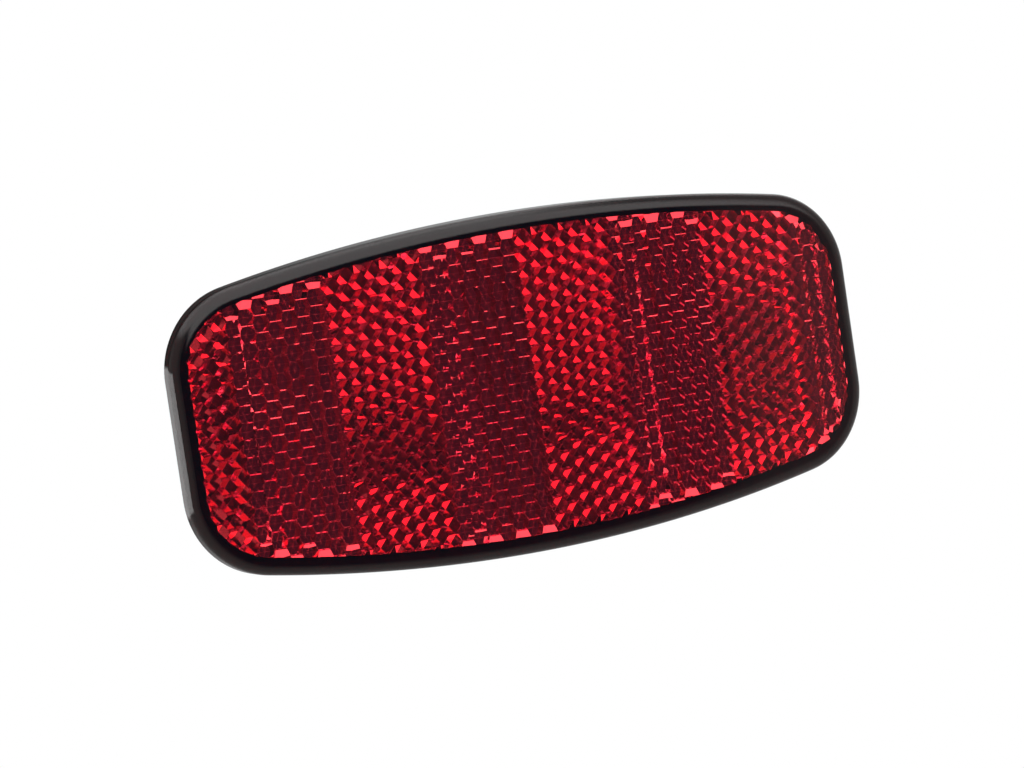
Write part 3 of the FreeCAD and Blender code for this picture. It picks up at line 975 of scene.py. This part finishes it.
# %% Bolt material
zinc, tree, shader = new_material("zinc_plated_steel")
shader.inputs["Metallic"].default_value = 1.0
cloud = noise(tree, scale=600, detail=4.0)
metal = two_tone(tree, cloud, (0.52, 0.53, 0.55, 1), (0.72, 0.73, 0.74, 1))
tree.links.new(metal, shader.inputs["Base Color"])
tree.links.new(spread(tree, cloud, low=0.26, high=0.44), shader.inputs["Roughness"])
rolled = noise(tree, scale=900, detail=3.0, stretch=(1, 8, 1))
bump(tree, shader, rolled, strength=0.12, distance=0.03 * MM)

lacquer, tree, shader = new_material("black_head_lacquer")
worn = noise(tree, scale=700, detail=3.0)
tree.links.new(spread(tree, worn, low=0.05, high=0.12), shader.inputs["Roughness"])
shader.inputs["Base Color"].default_value = (0.012, 0.012, 0.012, 1)

for piece in bolts:
    dress(piece, [zinc, lacquer], face_values(piece.data, "center")[:, 1] < head_floor + SLACK)
finishes = (skin, facets, seam, black, gloss, zinc, lacquer)
print("materials:", ", ".join(finish.name for finish in finishes))

# %% [markdown]
# ## Floor and surroundings
#
# The photograph is a cut-out on white. A pale floor and a white world give that background. Both
# are plain white for rays that come straight from the camera, or by way of gloss or glass. For
# light that falls on the object they stay at a modest level. The tents of the next step stand
# nearer, so it is the tents that gloss and glass will show.

# %% Helpers for the studio
def seen_directly(tree):
    """One for camera, glossy and transmitted rays and zero for the rest: the largest of three flags."""
    path = tree.nodes.new("ShaderNodeLightPath")
    first = tree.nodes.new("ShaderNodeMath")
    second = tree.nodes.new("ShaderNodeMath")
    first.operation = second.operation = "MAXIMUM"
    tree.links.new(path.outputs["Is Camera Ray"], first.inputs[0])
    tree.links.new(path.outputs["Is Glossy Ray"], first.inputs[1])
    tree.links.new(first.outputs[0], second.inputs[0])
    tree.links.new(path.outputs["Is Transmission Ray"], second.inputs[1])
    return second.outputs[0]


def stage_card(name, points, faces, material):
    """Piece of the studio that isn't part of the object."""
    mesh = bpy.data.meshes.new(name)
    mesh.from_pydata(points, [], faces)
    mesh.materials.append(material)
    card = bpy.data.objects.new(name, mesh)
    bpy.context.scene.collection.objects.link(card)
    card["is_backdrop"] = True
    return card


# %% Floor and world
FLOOR_DROP = 0.35
FLOOR_REACH = 3.0
AMBIENT = 0.5

paper, tree, shader = new_material("pale_floor")
shader.inputs["Base Color"].default_value = (0.85, 0.85, 0.85, 1)
shader.inputs["Roughness"].default_value = 0.9
white = tree.nodes.new("ShaderNodeEmission")
either = mix_shaders(tree, shader.outputs["BSDF"], white.outputs["Emission"])
tree.links.new(seen_directly(tree), either.inputs["Fac"])
tree.links.new(either.outputs["Shader"], tree.nodes["Material Output"].inputs["Surface"])
square = ((-1, -1), (1, -1), (1, 1), (-1, 1))
floor_corners = [(x * FLOOR_REACH, y * FLOOR_REACH, -FLOOR_DROP) for x, y in square]
stage_card("floor", floor_corners, [(0, 1, 2, 3)], paper)

world = bpy.data.worlds.new("white_room")
bpy.context.scene.world = world
world.use_nodes = True
tree = world.node_tree
strength = spread(tree, seen_directly(tree), low=AMBIENT, high=1.0, start=0.0, end=1.0)
background = tree.nodes["Background"]
background.inputs["Color"].default_value = (1, 1, 1, 1)
tree.links.new(strength, background.inputs["Strength"])
print(f"floor {FLOOR_DROP} m below the object, world at {AMBIENT} for the light it gives")

# %% [markdown]
# ## Two tents round the object
#
# A corner prism sends light back where it came from, so from the camera half of the bands show the
# camera's own side of the room. In the photograph that side seems dark, and the other prisms seem
# to look out at bright walls above, below and at the sides. The first tent is such a room: dark in
# a wide oval in front and bright elsewhere. Only rays that come out of the lens meet it.
#
# The polished skin mirrors the room too, and in the photograph its edge mirrors little but a pale
# panel at the left and a ceiling. The second tent is for that: dark in front, grey at the sides and
# bright above. Only mirrored rays meet it. Neither tent hides anything from the camera or casts a
# shadow. The levels of both were set by measuring renders, until the bands and the rim came close
# to the photograph.

# %% Directions, and levels of the room that the prisms show
DARK_SIDE = np.array((0.031, 0.031, 0.07))
OVAL_TURN, OVAL_RISE = 60, 36
ROOM = 1.8
ROOM_MORE_ABOVE = 0.2
ROOM_MORE_RIGHT = 1.5


def smooth_step(value, start, end):
    """0 below start and 1 above end, with the cubic 3t^2 - 2t^3 between."""
    t = np.clip((value - start) / (end - start), 0, 1)
    return t * t * (3 - 2 * t)


def blended(first, second, share):
    """From the first level to the second by the share; a level is a grey or a colour."""
    share = share[..., None]
    return first * (1 - share) + second * share


def towards(turn, rise):
    """Unit ray at a turn from the front to the right and a rise above the horizon, in degrees."""
    turn, rise = np.radians(turn), np.radians(rise)
    level = np.cos(rise)
    return np.stack([np.sin(turn) * level, -np.cos(turn) * level, np.sin(rise)], axis=-1)


def angle_from(ray, axis):
    """Degrees between rays and an axis, from the arc cosine of their dot product."""
    return np.degrees(np.arccos(np.clip(ray @ axis, -1, 1)))


def light_levels(turn, rise):
    """Dark in the oval and bright outside it, a little more so above and below, most at the right.

    The way out of the oval is the length of turn and rise, each in units of the oval's half axis.
    """
    way_out = np.hypot(turn / OVAL_TURN, rise / OVAL_RISE)
    above_or_below = smooth_step(np.abs(rise), 45, 65)
    right = smooth_step(turn, 70, 120)
    bright = ROOM + ROOM_MORE_ABOVE * above_or_below + ROOM_MORE_RIGHT * right
    return blended(DARK_SIDE, bright[..., None], smooth_step(way_out, 0.85, 1.3))


# %% Levels of the room that the skin mirrors
DARK_MIRROR = np.array((0.05, 0.085, 0.14))
DARK_AXIS = towards(-5.0, 0.0)
DIM_AXIS = towards(-165.0, 20.0)
CEILING = 1.7
FIRST_GREY = 0.38
PANEL_TURN = (-176, -95)
PANEL_RISE = (-14, 5)


def mirrored_walls(ray, lit):
    """Dark in front; grey past 40 degrees from the dark axis, and more of it past 46 degrees."""
    from_front = angle_from(ray, DARK_AXIS)
    near = smooth_step(from_front, 39.5, 43.5)
    far = smooth_step(from_front, 46, 66)
    side = FIRST_GREY * near + (1 - FIRST_GREY) * far
    grey = 0.10 + 0.35 * lit
    return blended(DARK_MIRROR, grey[..., None], side)


def mirrored_ceiling(turn, rise, lit):
    """Pale overhead, at half the level low behind and a quarter of it low at the right."""
    low = 1 - smooth_step(rise, 56, 70)
    behind = smooth_step(np.abs(turn), 110, 150) * low
    right = smooth_step(turn, 42, 80) * low
    dimming = np.maximum(0.5 * behind, 0.75 * (right - behind))
    return CEILING * (1 - dimming) * (0.1 + 0.9 * lit)


def mirror_levels(turn, rise):
    """Walls below and ceiling above, both dim round one axis behind, and a pale panel at the left.

    The ceiling starts higher at the left. The panel brightens towards the front, because the
    rounded edge mirrors less there.
    """
    ray = towards(turn, rise)
    lit = smooth_step(angle_from(ray, DIM_AXIS), 22, 45)
    above = smooth_step(rise - 22 * smooth_step(-turn, 20, 55), 6, 18)
    walls = mirrored_walls(ray, lit)
    room = blended(walls, mirrored_ceiling(turn, rise, lit)[..., None], above)
    in_panel_turn = (turn > PANEL_TURN[0]) & (turn < PANEL_TURN[1])
    in_panel_rise = (rise > PANEL_RISE[0]) & (rise < PANEL_RISE[1])
    pale = 1.4 + 2.0 * smooth_step(turn, -150, -100)
    return np.where((in_panel_turn & in_panel_rise)[..., None], pale[..., None], room)


# %% Tents
TENT_RADIUS = 0.33
TENT_ROWS, TENT_COLUMNS = 91, 181


def glowing_cloth(name):
    """Material that glows in the colours of the mesh's own attribute."""
    cloth, tree, shader = new_material(name)
    tree.nodes.remove(shader)
    glow = tree.nodes.new("ShaderNodeEmission")
    read = tree.nodes.new("ShaderNodeAttribute")
    read.attribute_name = "glow"
    tree.links.new(read.outputs["Color"], glow.inputs["Color"])
    tree.links.new(glow.outputs["Emission"], tree.nodes["Material Output"].inputs["Surface"])
    return cloth


def tent(name, levels):
    """Sphere round the object that glows at the given levels."""
    rows = np.linspace(-90, 90, TENT_ROWS)
    columns = np.linspace(-180, 180, TENT_COLUMNS)
    rise, turn = np.meshgrid(rows, columns, indexing="ij")
    points = (TENT_RADIUS * towards(turn, rise)).reshape(-1, 3).tolist()
    quads = grid_quads(TENT_ROWS, TENT_COLUMNS).tolist()
    card = stage_card(name, points, quads, glowing_cloth(name))
    colours = np.ones((TENT_ROWS * TENT_COLUMNS, 4), dtype=np.float32)
    colours[:, :3] = levels(turn, rise).reshape(-1, 3)
    glow = card.data.attributes.new("glow", "FLOAT_COLOR", "POINT")
    glow.data.foreach_set("color", colours.ravel())
    card.visible_camera = card.visible_diffuse = card.visible_shadow = False
    print(f"{name}: levels from {colours[:, :3].min():.3f} to {colours[:, :3].max():.2f}")
    return card


light_tent = tent("light_tent", light_levels)
light_tent.visible_glossy = False
mirror_tent = tent("mirror_tent", mirror_levels)
mirror_tent.visible_transmission = False

# %% [markdown]
# ## Soft boxes
#
# Two large lamps light the plate, the bolts and the floor: one overhead and one low under the
# object. A lamp's brightness is its power over pi times its area, so the power is worked out from
# the brightness wanted.

# %% Lamps
LAMP_BRIGHTNESS = 2.4


def soft_box(name, place, width, height):
    """Rectangular lamp aimed at the object: power is brightness times pi times area."""
    lamp = bpy.data.lights.new(name, "AREA")
    lamp.shape = "RECTANGLE"
    lamp.size = width
    lamp.size_y = height
    lamp.energy = LAMP_BRIGHTNESS * math.pi * width * height
    box = bpy.data.objects.new(name, lamp)
    bpy.context.scene.collection.objects.link(box)
    box.location = place
    box.rotation_euler = (-Vector(place)).to_track_quat("-Z", "Y").to_euler()
    print(f"{name}: {lamp.energy:.1f} W")


soft_box("top_box", place=(0, 0.05, 0.6), width=1.2, height=0.8)
soft_box("low_box", place=(0, 0.05, -0.345), width=0.9, height=0.7)

# %% [markdown]
# ## Camera
#
# The camera was fitted to the photograph's outline: it stands to the left, a little above, a long
# way off with a long lens, and rolled so that the reflector climbs to the right. The focal length
# is known in pixels; times the sensor's width over the picture's width it is in millimetres.

# %% Camera
PICTURE_WIDTH = 1024
camera_turn, camera_rise = -23.417, 4.529
camera_roll = math.radians(8.421)
camera_distance = 0.67172
focal_pixels = 5219.8
shift_pixels = (-24.94, -2.86)

back = Vector(towards(camera_turn, camera_rise))
level = Vector(towards(camera_turn + 90, 0.0))
upright = back.cross(level)
camera_right = level * math.cos(camera_roll) - upright * math.sin(camera_roll)
camera_up = level * math.sin(camera_roll) + upright * math.cos(camera_roll)
view = bpy.data.cameras.new("camera")
view.sensor_width = 36
view.lens = focal_pixels * view.sensor_width / PICTURE_WIDTH
view.shift_x, view.shift_y = (pixels / PICTURE_WIDTH for pixels in shift_pixels)
view.clip_start = 0.01
camera = bpy.data.objects.new("camera", view)
bpy.context.scene.collection.objects.link(camera)
pose = Matrix((camera_right, camera_up, back)).transposed().to_4x4()
pose.translation = Vector((0, front_y, 0)) + back * camera_distance
camera.matrix_world = pose
bpy.context.scene.camera = camera
print(f"camera: {view.lens:.0f} mm at {camera_distance:.2f} m")

# %% [markdown]
# ## Light paths
#
# The light that makes a prism bright may be mirrored many times inside the lens before it leaves.
# The usual limit of twelve bounces stops it on the way and leaves such prisms dark, so the limit
# is raised.

# %% Bounces and view
BOUNCES = 48
settings = bpy.context.scene.cycles
settings.max_bounces = settings.glossy_bounces = settings.transmission_bounces = BOUNCES
bpy.context.scene.view_settings.view_transform = "Standard"
print(f"up to {BOUNCES} bounces")

# %% [markdown]
# ## Sizes and finish
#
# The box of the CAD solids and the box of the finished pieces are written side by side, so anyone
# can see that no piece sticks out of the part.

# %% Sizes and finish
boxes = {"cad": cad_box, "visual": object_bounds()}
for name, box in boxes.items():
    print(name, "box, mm:", [[round(1e3 * v, 3) for v in corner] for corner in box])
